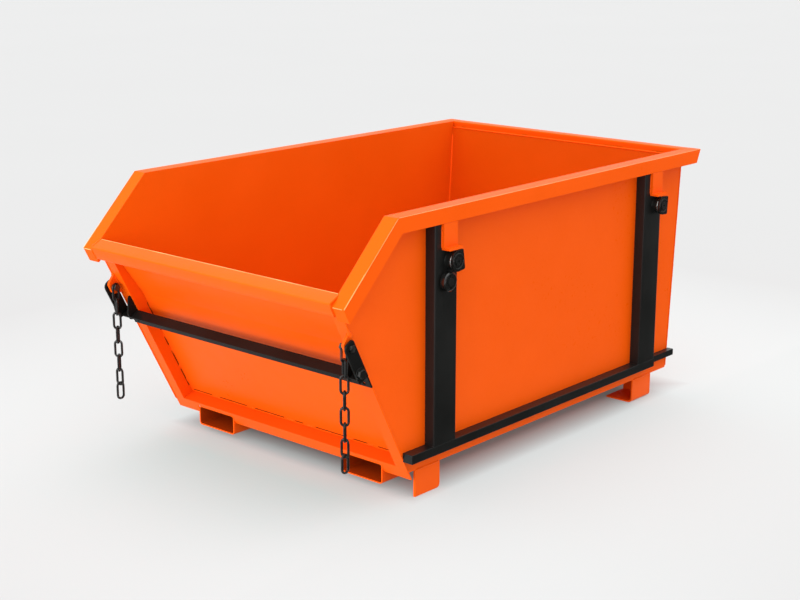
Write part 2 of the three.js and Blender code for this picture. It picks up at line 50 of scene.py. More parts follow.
NARROW, WIDE = (0.35, 0.65), (0.3, 0.7)
FACING = (0.0, -0.01)
ORANGE, ORANGE_GRAIN = ((0.88, 0.0960, 0.0022), (0.92, 0.1030, 0.0028)), (0.94, 0.125, 0.004)
ORANGE_ROUGH, ORANGE_GRAIN_ROUGH = (0.27, 0.36), (0.0, 0.05)
SEAM_SHADOW = ((0.035, 0.006, 0.002), (0.090, 0.014, 0.003))
EDGE_HIGHLIGHT = ((0.95, 0.24, 0.045), (1.0, 0.46, 0.16))
BLACK, BLACK_GRAIN = ((0.0052, 0.0054, 0.0050), (0.0088, 0.0090, 0.0082)), (0.014, 0.014, 0.013)
STEEL, STEEL_SPANGLE = ((0.045, 0.045, 0.043), (0.10, 0.10, 0.095)), (0.18, 0.18, 0.17)
STEEL_ROUGH = (0.30, 0.48)
ZINC, ZINC_ROUGH = ((0.45, 0.45, 0.44), (0.80, 0.80, 0.78)), (0.20, 0.35)
CHAIN, CHAIN_ROUGH = ((0.0045, 0.0045, 0.0042), (0.0105, 0.0102, 0.0095)), (0.26, 0.48)
HOPPER_MIDDLE = (0.0, 0.0, 0.75)
CROSS_FLANGE_MIDDLE = (0.0, -0.77, 0.428)
POCKET_X, POCKET_Y, POCKET_Z = 0.346, 0.11, 0.055


class Graph:
    """A material's node tree, with short calls for the nodes that the finishes use."""

    def __init__(self, name):
        self.material = bpy.data.materials.new(name)
        self.material.use_nodes = True
        self.tree = self.material.node_tree
        self.shader = self.tree.nodes["Principled BSDF"]
        coordinates = self.tree.nodes.new("ShaderNodeTexCoord")
        self.place = coordinates.outputs["Object"]
        self.normal = coordinates.outputs["Normal"]

    def feed(self, socket, value):
        """Gives a socket another node's output, a number, a vector or a colour."""
        if isinstance(value, bpy.types.NodeSocket):
            self.tree.links.new(value, socket)
        elif socket.type == "RGBA":
            socket.default_value = (*value, 1.0)
        else:
            socket.default_value = value

    def surface(self, name, value):
        """Feeds one of the shader's own sockets."""
        self.feed(self.shader.inputs[name], value)

    def add(self, kind, inputs, output, **settings):
        """Adds a node with its settings and inputs, and returns one of its outputs."""
        node = self.tree.nodes.new(f"ShaderNode{kind}")
        for name, value in settings.items():
            setattr(node, name, value)
        for key, value in inputs.items():
            self.feed(node.inputs[key], value)
        return node.outputs[output]

    def noise(self, scale, detail=4.0, rough=0.5):
        inputs = {"Vector": self.place, "Scale": scale, "Detail": detail, "Roughness": rough}
        return self.add("TexNoise", inputs, "Fac")

    def cells(self, scale):
        return self.add("TexVoronoi", {"Vector": self.place, "Scale": scale}, "Distance")

    def span(self, value, low, high, out_low=0.0, out_high=1.0, smooth=False):
        """Maps one range of values to another and holds what lies beyond it."""
        inputs = {"Value": value, "From Min": low, "From Max": high, "To Min": out_low, "To Max": out_high}
        steps = "SMOOTHSTEP" if smooth else "LINEAR"
        return self.add("MapRange", inputs, "Result", interpolation_type=steps)

    def math(self, operation, *values):
        return self.add("Math", dict(enumerate(values)), "Value", operation=operation)

    def mix(self, share, a, b):
        return self.add("Mix", {0: share, 6: a, 7: b}, 2, data_type="RGBA")

    def bump(self, height, strength, distance):
        return self.add("Bump", {"Height": height, "Strength": strength, "Distance": distance}, "Normal")

    def vector(self, operation, a, b):
        output = "Value" if operation == "DOT_PRODUCT" else "Vector"
        return self.add("VectorMath", {0: a, 1: b}, output, operation=operation)

    def looks_towards(self, middle):
        """1 on faces turned towards a point of the part, 0 on faces turned away from it."""
        away = self.vector("SUBTRACT", self.place, middle)
        return self.span(self.vector("DOT_PRODUCT", self.normal, away), *FACING)


def orange_paint(name="orange_paint", shade_red=1.0, middle=HOPPER_MIDDLE, shade_green=1.0, gloss=0.07):
    """Satin orange; the red and green factors dim the faces that look towards a middle point: painted shade
    on the inner faces of a hollow.
    """
    g = Graph(name)
    clouds = g.span(g.noise(2.6, detail=3.0), *NARROW)
    grain = g.span(g.noise(75.0, detail=5.0, rough=0.6), *NARROW)
    base = g.mix(clouds, *ORANGE)
    base = g.mix(g.math("MULTIPLY", grain, 0.12), base, ORANGE_GRAIN)
    # Painted shade: the inner faces, turned towards the middle point, get a darker red and green.
    if shade_red < 1.0:
        inner = [(red * shade_red, green * shade_green, blue) for red, green, blue in ORANGE]
        base = g.mix(g.looks_towards(middle), base, g.mix(clouds, *inner))
    g.surface("Base Color", base)
    broad, fine = g.span(clouds, 0.0, 1.0, *ORANGE_ROUGH), g.span(grain, 0.0, 1.0, *ORANGE_GRAIN_ROUGH)
    g.surface("Roughness", g.math("ADD", broad, fine))
    g.surface("Normal", g.bump(g.noise(4.2, detail=2.0), strength=0.40, distance=0.010))
    g.surface("Specular IOR Level", gloss)
    return g.material


def seam_shade():
    """Painted shade: the dark of the shadow inside an open seam between two plates."""
    g = Graph("seam_shade")
    g.surface("Base Color", g.mix(g.noise(160.0, detail=3.0), *SEAM_SHADOW))
    g.surface("Roughness", 0.8)
    g.surface("Specular IOR Level", 0.0)
    return g.material


def edge_highlight():
    """Painted highlight: lighter paint along sharp edges, standing in for the light that the edges catch.
    """
    g = Graph("edge_highlight")
    g.surface("Base Color", g.mix(g.span(g.noise(9.0), *WIDE), *EDGE_HIGHLIGHT))
    g.surface("Roughness", 0.3)
    g.surface("Specular IOR Level", 0.5)
    return g.material


def black_paint(name="black_paint", gloss=0.28, rough=(0.30, 0.46)):
    """Black lacquer with a fine grain, between a lowest and a highest roughness."""
    g = Graph(name)
    clouds = g.span(g.noise(6.0), *WIDE)
    grain = g.span(g.noise(180.0, rough=0.6), *WIDE)
    g.surface("Base Color", g.mix(g.math("MULTIPLY", grain, 0.25), g.mix(clouds, *BLACK), BLACK_GRAIN))
    g.surface("Roughness", g.span(g.math("ADD", clouds, grain), 0.0, 2.0, *rough))
    g.surface("Normal", g.bump(g.noise(260.0, detail=3.0), strength=0.12, distance=0.0004))
    g.surface("Specular IOR Level", gloss)
    return g.material


def plated_steel():
    """Dull plated steel with a fine spangle."""
    g = Graph("plated_steel")
    spangle = g.span(g.cells(420.0), 0.0, 0.7)
    clouds = g.span(g.noise(90.0), *WIDE)
    g.surface("Base Color", g.mix(g.math("MULTIPLY", spangle, 0.3), g.mix(clouds, *STEEL), STEEL_SPANGLE))
    g.surface("Metallic", 1.0)
    g.surface("Roughness", g.span(clouds, 0.0, 1.0, *STEEL_ROUGH))
    g.surface("Normal", g.bump(spangle, strength=0.08, distance=0.0002))
    return g.material


def bright_zinc():
    """New zinc, as on a washer."""
    g = Graph("bright_zinc")
    clouds = g.span(g.noise(140.0), *WIDE)
    g.surface("Base Color", g.mix(clouds, *ZINC))
    g.surface("Metallic", 1.0)
    g.surface("Roughness", g.span(clouds, 0.0, 1.0, *ZINC_ROUGH))
    return g.material


def black_chain():
    """Chain steel under a rough black coat."""
    g = Graph("black_chain")
    grain = g.span(g.noise(500.0, rough=0.6), *WIDE)
    g.surface("Base Color", g.mix(g.span(g.noise(70.0), *NARROW), *CHAIN))
    g.surface("Roughness", g.span(grain, 0.0, 1.0, *CHAIN_ROUGH))
    g.surface("Normal", g.bump(grain, strength=0.25, distance=0.0004))
    g.surface("Specular IOR Level", 0.35)
    return g.material


# The plates, the cross flange and the fork pockets get painted shade on their inner faces.
PLATE_PAINT = orange_paint("orange_plate", 0.84)
RIM_PAINT = orange_paint("orange_rim", gloss=0.03)
CROSS_PAINT = orange_paint("orange_cross", 0.86, CROSS_FLANGE_MIDDLE, 0.72)
POCKET_PAINTS = {
    side: orange_paint(f"orange_pocket_{side}", 0.46, (sign * POCKET_X, POCKET_Y, POCKET_Z), 0.42)
    for side, sign in SIDES.items()
}
EDGE_PAINT = edge_highlight()
SEAM_SHADE = seam_shade()
GLOSSY_BLACK = black_paint("black_paint_smooth", 0.7, (0.16, 0.26))
BAIL_BLACK = black_paint("black_paint_bail", 0.10, (0.34, 0.46))
BRIGHT_ZINC = bright_zinc()
FINISHES = {
    "orange_paint": orange_paint(),
    "black_paint": black_paint(),
    "plated_steel": plated_steel(),
    "black_chain": black_chain(),
}
OWN_FINISHES = {
    "side_plate": PLATE_PAINT,
    "floor_plate": PLATE_PAINT,
    "rear_wall": PLATE_PAINT,
    "front_panel": PLATE_PAINT,
    "side_rim": RIM_PAINT,
    "rear_rim": RIM_PAINT,
    "bottom_cross_flange": CROSS_PAINT,
    "fork_tube_left": POCKET_PAINTS["left"],
    "fork_tube_right": POCKET_PAINTS["right"],
    "keeper": GLOSSY_BLACK,
    "track_roller": GLOSSY_BLACK,
    "bail": BAIL_BLACK,
    "clevis": BAIL_BLACK,
}


def finish(piece, slot, material=None):
    """Gives a piece one of the finishes, picked by its slot, or a material of its own."""
    piece.data.materials.clear()
    piece.data.materials.append(material or FINISHES[slot])


# Finishes and softened edges of the CAD nodes

EDGES = {
    "side_rim": 0.0017,
    "rear_rim": 0.0017,
    "front_lip": 0.0012,
    "chain_link": 0.0,
    "pivot_pin": 0.0006,
    "track_roller": 0.0006,
    "keeper": 0.0012,
    "side_rail": 0.0014,
    "post": 0.0008,
}
USUAL_EDGE = 0.0009
SHARP_ANGLE = math.radians(32)
SAME_POINT = 0.00002
CHAIN_COAT = 0.0012


def by_start(table, name, otherwise=None):
    """The value in a table whose key is the start of a name."""
    return next((value for start, value in table.items() if name.startswith(start)), otherwise)


def soften(piece, width):
    """Joins a piece's faces for shading and rounds its hard edges, by modifiers alone."""
    mesh = piece.data
    if "custom_normal" in mesh.attributes:
        mesh.attributes.remove(mesh.attributes["custom_normal"])
    for face in mesh.polygons:
        face.use_smooth = True
    weld = piece.modifiers.new("join", "WELD")
    weld.merge_threshold = SAME_POINT
    if not width:
        return
    bevel = piece.modifiers.new("edge", "BEVEL")
    bevel.width = width
    bevel.segments = 2
    bevel.limit_method = "ANGLE"
    bevel.angle_limit = SHARP_ANGLE
    bevel.harden_normals = True
    bevel.use_clamp_overlap = True


for part in frame["record"]["subparts"]:
    name, slot = part["node"], part["material_slot"]
    finish(nodes[name], slot, by_start(OWN_FINISHES, name))
    if slot == "black_chain":
        coat = nodes[name].modifiers.new("coat", "DISPLACE")
        coat.strength = CHAIN_COAT
    soften(nodes[name], by_start(EDGES, name, USUAL_EDGE))


# Sizes and places in millimetres: x from the middle, y from the foot of the drawing, z from the floor

SLOPE = math.radians(27)
SLOPE_FOOT_Y, SLOPE_FOOT_Z = 119, 62
SIDE_IN, SIDE_OUT = 546, 550
FLOOR_LOW, FLOOR_TOP, FLOOR_FRONT = 90, 94, 150
RIM_LOW, RIM_TOP, RIM_FRONT, RIM_BACK = 872, 922, 20, 1688
WALL_FOOT, WALL_HEAD, WALL_EDGE = 1588, 1640, 545
PANEL, BEND = -45, 489
PANEL_BACK, PANEL_LOW, PANEL_WELD_LOW = PANEL - 4, 54, 60
WEB, WEB_LOW, CROSS_END = 503, 62, 495
FLANGE_EDGE, FLANGE_LOW, FLANGE_HIGH = 549.5, 34, 676
LUG_FACES, LUG_LOW, LUG_HIGH = (538, 548), 534, 596
LIP_LOW, LIP_EDGE, LIP_FACE = 682, 549.6, 28
FORK_SIDES, FORK_BACK = (256, 436), 1560
FRONT_FEET, REAR_FEET, FOOT_RUN = {"left": 244, "right": 140}, 1371, 114
POSTS, POST_DEPTH, RAIL_TOP, RAIL_WELD = (183, 1342), 105, 164, (552, 588)
BRACKET_EDGE, BRACKET_FACE, BRACKET_LOW = 30, 591, 796
METRE = 1000
SHIFT_IN_METRES = -0.726685


def at(x, y, z):
    """A place in the shared frame, in metres, from a place on the drawing."""
    return Vector((x / METRE, y / METRE + SHIFT_IN_METRES, z / METRE))


def on_slope(x, up, out):
    """A point of the sloped front, in millimetres up the slope and out from its face."""
    y = SLOPE_FOOT_Y - up * math.sin(SLOPE) - out * math.cos(SLOPE)
    z = SLOPE_FOOT_Z + up * math.cos(SLOPE) - out * math.sin(SLOPE)
    return at(x, y, z)


def rear_at(z):
    """How far back the leaning rear wall stands at a height."""
    return WALL_FOOT + (z - FLOOR_LOW) * (WALL_HEAD - WALL_FOOT) / (RIM_TOP - FLOOR_LOW)


# Shapes that several details share

def add_piece(name, bm, body, slot, material=None, smooth=False, edge=None):
    """Turns a bmesh into a finished piece that rides on one of the bodies."""
    mesh = bpy.data.meshes.new(name)
    bm.to_mesh(mesh)
    bm.free()
    if smooth:
        for face in mesh.polygons:
            face.use_smooth = True
    piece = bpy.data.objects.new(name, mesh)
    scene.collection.objects.link(piece)
    finish(piece, slot, material)
    if edge:
        soften(piece, edge)
    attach(piece, body)


def skin(bm, loops):
    """Joins loops of vertices into a tube with closed ends."""
    sides = len(loops[0])
    for a, b in zip(loops, loops[1:]):
        for k in range(sides):
            bm.faces.new((a[k], a[(k + 1) % sides], b[(k + 1) % sides], b[k]))
    bm.faces.new(loops[0][::-1])
    bm.faces.new(loops[-1])


def loop_round(bm, centre, forward, radius, sides):
    """A loop of vertices about a centre, square to a direction."""
    side = forward.orthogonal().normalized()
    up = forward.cross(side)
    angles = [2 * math.pi * k / sides for k in range(sides)]
    return [bm.verts.new(centre + (side * math.cos(a) + up * math.sin(a)) * radius) for a in angles]


def strip(bm, points, radius, sides=6):
    """A thin straight-sided rod through a few points."""
    loops = []
    for i, point in enumerate(points):
        forward = (points[min(i + 1, len(points) - 1)] - points[max(i - 1, 0)]).normalized()
        loops.append(loop_round(bm, point, forward, radius, sides))
    skin(bm, loops)


def circle(centre, axis, radius, steps, along=0.0, twist=0.0):
    """Points of a circle about an axis, from the first one round to the same place again."""
    turn = axis.to_track_quat("Z", "Y")
    points = []
    for k in range(steps + 1):
        a = twist + 2 * math.pi * k / steps
        point = Vector((math.cos(a) * radius, math.sin(a) * radius, along))
        point.rotate(turn)
        points.append(centre + point)
    return points


# Weld beads

BEAD_SIDES, BEAD_PITCH = 7, 0.0026
BEAD_TIP, BEAD_TAPER = 0.35, 2.2
CREST, DIP, UNEVEN = 0.10, -0.06, 0.05
SWAY_KEPT, SWAY = 0.8, 0.03
WEB_STITCH, CROSS_STITCH, POCKET_STITCH = (26, 44), (34, 66), (60, 120)


def bead(bm, start, end, radius, chance):
    """One run of weld between two points: a rippled round bead with tapered ends."""
    line = end - start
    length = line.length
    forward = line.normalized()
    steps = max(3, round(length / BEAD_PITCH))
    loops = []
    sway = 0.0
    for i in range(steps + 1):
        t = i / steps
        taper = min(1.0, BEAD_TIP + (1 - BEAD_TIP) * min(t, 1 - t) * length / (BEAD_TAPER * radius))
        ripple = 1.0 + (CREST if i % 2 else DIP) + chance.uniform(-UNEVEN, UNEVEN)
        sway = SWAY_KEPT * sway + chance.uniform(-SWAY, SWAY)
        size = radius * taper * ripple * (1 + sway)
        loops.append(loop_round(bm, start + line * t, forward, size, BEAD_SIDES))
    skin(bm, loops)


def stitches(start, end, run, gap):
    """Short weld runs spaced along a line, as pairs of points."""
    length = (end - start).length * METRE
    count = max(1, round((length + gap) / (run + gap)))
    pitch = length / count
    forward = (end - start).normalized()
    margin = (pitch - run) / 2
    pairs = []
    for i in range(count):
        near = i * pitch + margin
        pairs.append((start + forward * near / METRE, start + forward * (near + run) / METRE))
    return pairs


def welds(name, slot, radius, runs, seed):
    """A group of weld runs on the hopper, as one piece."""
    bm = bmesh.new()
    chance = random.Random(seed)
    for start, end in runs:
        bead(bm, start, end, radius, chance)
    add_piece(name, bm, "hopper", slot, smooth=True)


shell, flanges, base, brackets, rails, lip, rear_corners = [], [], [], [], [], [], []
for side, sign in SIDES.items():
    inside, outside, edge, web = sign * SIDE_IN, sign * SIDE_OUT, sign * LIP_EDGE, sign * WEB
    low, high = FLOOR_TOP + 2, RIM_LOW - 4
    shell += [
        (at(inside, FLOOR_FRONT, FLOOR_TOP), at(inside, rear_at(FLOOR_TOP) - 5, FLOOR_TOP)),
        (on_slope(inside, PANEL_WELD_LOW, PANEL_BACK), on_slope(inside, BEND - 10, PANEL_BACK)),
        (at(outside, rear_at(low), low), at(outside, rear_at(high), high)),
        (at(outside, RIM_FRONT, RIM_LOW), at(outside, WALL_HEAD - 4, RIM_LOW)),
        (on_slope(edge, LIP_LOW + 3, LIP_FACE), on_slope(edge, LIP_LOW + 44, LIP_FACE)),
        (on_slope(edge, LIP_LOW, LIP_FACE - 3), on_slope(edge, LIP_LOW, 2)),
    ]
    flanges += stitches(on_slope(web, WEB_LOW, PANEL), on_slope(web, BEND - 20, PANEL), *WEB_STITCH)
    edge = sign * FLANGE_EDGE
    flanges.append((on_slope(edge, FLANGE_LOW, 0), on_slope(edge, FLANGE_HIGH, 0)))
    for x in LUG_FACES:
        flanges.append((on_slope(sign * x, LUG_LOW, 1), on_slope(sign * x, LUG_HIGH, 1)))
    for x in FORK_SIDES:
        base.append((on_slope(sign * x, 3, -1), on_slope(sign * x, 30, -1)))
    for foot in (FRONT_FEET[side], REAR_FEET):
        base.append((at(outside, foot, FLOOR_LOW), at(outside, foot + FOOT_RUN, FLOOR_LOW)))
    for x in FORK_SIDES:
        front, back = at(sign * x, FLOOR_FRONT, FLOOR_LOW), at(sign * x, FORK_BACK, FLOOR_LOW)
        base += stitches(front, back, *POCKET_STITCH)
    for post in POSTS:
        for y in (post, post + POST_DEPTH):
            rails.append(tuple(at(sign * x, y, RAIL_TOP) for x in RAIL_WELD))
        front, face = post + BRACKET_EDGE, sign * BRACKET_FACE
        brackets.append((at(face, front, RIM_LOW), at(face, front + 61, RIM_LOW)))
        face = sign * (BRACKET_FACE - 1)
        brackets.append((at(face, front - 2, BRACKET_LOW), at(face, front - 2, RIM_LOW - 6)))
    lip += [
        (on_slope(sign * 548.3, 731.2, -21), on_slope(sign * 548.3, 731.2, 25.4)),
        (on_slope(sign * 548.6, LIP_LOW + 2, 24.9), on_slope(sign * 548.6, LIP_LOW + 49, 24.9)),
    ]
    ends = (FLOOR_TOP + 2, RIM_LOW - 2)
    rear_corners.append(tuple(at(sign * WALL_EDGE, rear_at(z) - 3, z) for z in ends))
left, right = [on_slope(x, PANEL_LOW, PANEL) for x in (-CROSS_END, CROSS_END)]
flanges += stitches(left, right, *CROSS_STITCH)
for z in (FLOOR_TOP, RIM_TOP - 23):
    shell.append((at(-WALL_EDGE, rear_at(z) - 4, z), at(WALL_EDGE, rear_at(z) - 4, z)))

welds("welds_shell", "orange_paint", radius=0.0026, runs=shell, seed=11)
welds("welds_flanges", "orange_paint", radius=0.0028, runs=flanges, seed=12)
welds("welds_base", "orange_paint", radius=0.0032, runs=base, seed=13)
welds("welds_brackets", "orange_paint", radius=0.0024, runs=brackets, seed=14)
welds("welds_rails", "black_paint", radius=0.0020, runs=rails, seed=15)
welds("welds_lip", "orange_paint", radius=0.0040, runs=lip, seed=16)
welds("welds_rear_corners", "orange_paint", radius=0.0045, runs=rear_corners, seed=17)


# Painted highlights along edges, and painted shade in seams

RIM_OUTER, RIM_INNER = 599.3, 550.8
RIM_OUTER_END, RIM_INNER_END = (-229, 692), (-206, 714.4)
CREST_HALF, CREST_LINE = 544, (732.0, -21.0)
LIP_END_FROM, LIP_END_TO, LIP_END_LINE = 592, 556, (719.5, 25.2)
REAR_SEAM, REAR_SEAM_RADIUS = (1638.4, 900.2), 0.0016
REAR_SEAM_RUNS = ((-544, -532), (-505, -480), (-190, -165), (205, 290), (420, 470))
WEB_SEAM_OUT, CROSS_SEAM, PANEL_SEAM_RADIUS = PANEL + 2.4, (56.4, PANEL + 0.4), 0.0014
WEB_SEAM_RUNS = ((74, 150), (168, 235), (262, 300), (330, 452))
CROSS_SEAM_RUNS = (
    (-486, -392), (-350, -214), (-172, -30), (22, 60), (118, 246), (290, 352), (398, 484),
)


def edge_lines(name, lines, material):
    """Thin rods along edges of the hopper, as one piece, from radii and points."""
    bm = bmesh.new()
    for radius, points in lines:
        strip(bm, points, radius)
    add_piece(name, bm, "hopper", "orange_paint", material)


# Painted highlights: pale rods along the rims' and the lip's edges stand in for the light these edges
# catch.
lines = []
for sign in SIDES.values():
    outer, inner = sign * RIM_OUTER, sign * RIM_INNER
    lines += [
        (0.0016, [at(outer, 2, RIM_TOP - 1.6), at(outer, *RIM_OUTER_END)]),
        (0.0008, [at(outer, 6, RIM_TOP - 0.8), at(outer, RIM_BACK, RIM_TOP - 0.8)]),
        (0.0009, [at(inner, 2, RIM_TOP - 1.4), at(inner, *RIM_INNER_END)]),
    ]
lines.append((0.0012, [on_slope(-CREST_HALF, *CREST_LINE), on_slope(CREST_HALF, *CREST_LINE)]))
for sign in SIDES.values():
    ends = (sign * LIP_END_FROM, sign * LIP_END_TO)
    lines.append((0.0013, [on_slope(x, *LIP_END_LINE) for x in ends]))
edge_lines("edge_highlights", lines, EDGE_PAINT)

# Painted shade: thin dark rods along the seam under the rear rim, where its gap lies in shadow.
seams = [(REAR_SEAM_RADIUS, [at(x, *REAR_SEAM) for x in run]) for run in REAR_SEAM_RUNS]
edge_lines("rear_seam_shade", seams, SEAM_SHADE)

# Painted shade: thin dark rods along the panel's seams with the flange webs and the cross flange.
seams = [(PANEL_SEAM_RADIUS, [on_slope(-WEB, up, WEB_SEAM_OUT) for up in run]) for run in WEB_SEAM_RUNS]
seams += [(PANEL_SEAM_RADIUS, [on_slope(x, *CROSS_SEAM) for x in run]) for run in CROSS_SEAM_RUNS]
edge_lines("panel_seam_shade", seams, SEAM_SHADE)


# Closed tube ends, and rings and washers

SMALL_EDGE = 0.0008
LIP_END_OUTLINE = (
    (687, -21.8), (728, -21.8), (732.6, -17.5), (732.6, 23),
    (728, 27.8), (687, 27.8), (683.2, 23), (683.2, -17.5),
)
LIP_END_INNER, LIP_END_OUTER = 547.5, 549.9
BOX_FACES = ((0, 1, 3, 2), (4, 6, 7, 5), (0, 4, 5, 1), (2, 3, 7, 6), (0, 2, 6, 4), (1, 5, 7, 3))
KEEPERS, KEEPER_Z = {"front": 255, "rear": 1414}, 752
BOSS_X, WASHER_X, KEEPER_X = 590.5, 611.0, 620.3
ROLLER_X, ROLLER_Y, ROLLER_Z = 612.0, 230, 690
RING_STEPS = 36
RIM_END_LOW, RIM_END_HIGH = (546, 1641.6, 873.4), (549.9, 1689.0, 920.6)
RAIL_FRONTS = {"left": 122, "right": 78}
BORE_X, BORE_Z, PLUG_Y = (552.2, 587.8), (136.2, 161.8), (0.8, 5)


def plate(name, outline, x_near, x_far):
    """A flat plate across x from an outline of (up, out) pairs on the slope."""
    bm = bmesh.new()
    near = [bm.verts.new(on_slope(x_near, up, out)) for up, out in outline]
    far = [bm.verts.new(on_slope(x_far, up, out)) for up, out in outline]
    bm.faces.new(near)
    bm.faces.new(far[::-1])
    for k in range(len(outline)):
        following = (k + 1) % len(outline)
        bm.faces.new((near[k], far[k], far[following], near[following]))
    bmesh.ops.recalc_face_normals(bm, faces=bm.faces)
    add_piece(name, bm, "hopper", "orange_paint")


def block(name, slot, low, high):
    """A small rectangular piece of the hopper between two corners, with rounded edges."""
    bm = bmesh.new()
    xs, ys, zs = zip(low, high)
    corners = [bm.verts.new((x, y, z)) for x in xs for y in ys for z in zs]
    for face in BOX_FACES:
        bm.faces.new([corners[k] for k in face])
    bmesh.ops.recalc_face_normals(bm, faces=bm.faces)
    add_piece(name, bm, "hopper", slot, edge=SMALL_EDGE)


def wire_rings(name, body, slot, axis, circles, material=None):
    """Thin rings about an axis, as one piece, from centres, radii and the wire's own radius."""
    bm = bmesh.new()
    for centre, radius, wire in circles:
        strip(bm, circle(centre, axis, radius, RING_STEPS), wire)
    add_piece(name, bm, body, slot, material, smooth=True)


for side, sign in SIDES.items():
    plate(f"lip_end_{side}", LIP_END_OUTLINE, sign * LIP_END_INNER, sign * LIP_END_OUTER)

for side, sign in SIDES.items():
    outwards = Vector((sign, 0, 0))
    for place, y in KEEPERS.items():
        boss, washer, keeper = [at(sign * x, y, KEEPER_Z) for x in (BOSS_X, WASHER_X, KEEPER_X)]
        wire_rings(f"boss_weld_{place}_{side}", "hopper", "black_paint", outwards, [(boss, 0.0292, 0.0022)])
        wire_rings(f"keeper_washer_{place}_{side}", "hopper", "plated_steel", outwards,
                   [(washer, 0.0284, 0.0013)], BRIGHT_ZINC)
        wire_rings(f"keeper_ring_{place}_{side}", f"keeper_{place}_{side}", "black_paint", outwards,
                   [(keeper, 0.0235, 0.0011)], GLOSSY_BLACK)
    roller = at(sign * ROLLER_X, ROLLER_Y, ROLLER_Z)
    wire_rings(f"roller_ring_{side}", f"track_roller_{side}", "black_paint", outwards,
               [(roller, 0.0262, 0.0012), (roller, 0.0115, 0.0012)], GLOSSY_BLACK)

for side, sign in SIDES.items():
    low, high = [at(sign * x, y, z) for x, y, z in (RIM_END_LOW, RIM_END_HIGH)]
    block(f"rear_rim_end_{side}", "orange_paint", low, high)

for side, sign in SIDES.items():
    low, high = [at(sign * x, RAIL_FRONTS[side] + y, z) for x, y, z in zip(BORE_X, PLUG_Y, BORE_Z)]
    block(f"rail_plug_{side}", "black_paint", low, high)


# Fasteners and small detail

LUG_WELD_PLACE, LUG_WELD_SIZES = (547, 594, -1), (0.007, 0.008, 0.016)
BOLT_PLACE = (559.5, 474, 30)
WASHER_PROFILE, WASHER_SIDES = ((0.0, 0.0185), (0.0032, 0.0185)), 28
BOLT_PROFILE, BOLT_SIDES, BOLT_TURN = ((0.003, 0.0158), (0.0125, 0.0158), (0.0145, 0.0138)), 6, 0.3


def lump(name, centre, sizes, turn):
    """A rounded blob of weld on the hopper, half sunk into what it joins."""
    bm = bmesh.new()
    bmesh.ops.create_icosphere(bm, subdivisions=3, radius=1.0)
    chance = random.Random(len(name))
    for v in bm.verts:
        v.co *= 1 + chance.uniform(-UNEVEN, UNEVEN)
        v.co = Vector(c * size for c, size in zip(v.co, sizes))
        v.co.rotate(turn)
        v.co += centre
    add_piece(name, bm, "hopper", "orange_paint", smooth=True)


def turned(name, centre, axis, profile, sides, twist=0.0):
    """A round or many-sided piece of the bail, from (distance along the axis, radius) pairs."""
    bm = bmesh.new()
    loops = []
    for along, radius in profile:
        points = circle(centre, axis, radius, sides, along, twist)
        loops.append([bm.verts.new(point) for point in points[:-1]])
    skin(bm, loops)
    add_piece(name, bm, "bail", "black_paint", edge=SMALL_EDGE)


for side, sign in SIDES.items():
    outwards = Vector((sign, 0, 0))
    weld, bolt = [on_slope(sign * x, up, out) for x, up, out in (LUG_WELD_PLACE, BOLT_PLACE)]
    lump(f"lug_weld_{side}", weld, LUG_WELD_SIZES, Euler((SLOPE, 0, 0)))
    turned(f"bail_bolt_washer_{side}", bolt, outwards, WASHER_PROFILE, WASHER_SIDES)
    turned(f"bail_bolt_head_{side}", bolt, outwards, BOLT_PROFILE, BOLT_SIDES, BOLT_TURN)


# Floor, with a painted glow

# The paper is a little red and its glow a little cyan: grey where lit, while in shade the painted glow
# offsets the orange light bounced off the bin.
PAPER = ((0.389, 0.350, 0.350), (0.397, 0.358, 0.358))
FLOOR_CORNERS = ((-60, -60, 0), (60, -60, 0), (60, 60, 0), (-60, 60, 0))
BIN_HALF_WIDTH, BIN_MIDDLE, BIN_HALF_LENGTH = 0.55, 0.18, 0.78
UNDER_EDGE, UNDER_SHARE = (-0.12, 0.04), 0.35
NEAR_REACH = 1.7
AHEAD_RISE, AHEAD_END, AHEAD_WIDTH = (-1.75, -0.65), (-0.62, -0.76), (0.8, 0.2)
FAR_GLOW = {"red": 0.152, "green": 0.22}
NEAR_GLOW = {"red": 0.157, "green": 0.195}
BOUNCED_RED = 0.17


def sheet(name, corners, material):
    """A flat piece with four corners, which isn't part of the bin."""
    mesh = bpy.data.meshes.new(name)
    mesh.from_pydata(corners, [], [(0, 1, 2, 3)])
    mesh.materials.append(material)
    piece = bpy.data.objects.new(name, mesh)
    scene.collection.objects.link(piece)
    return piece


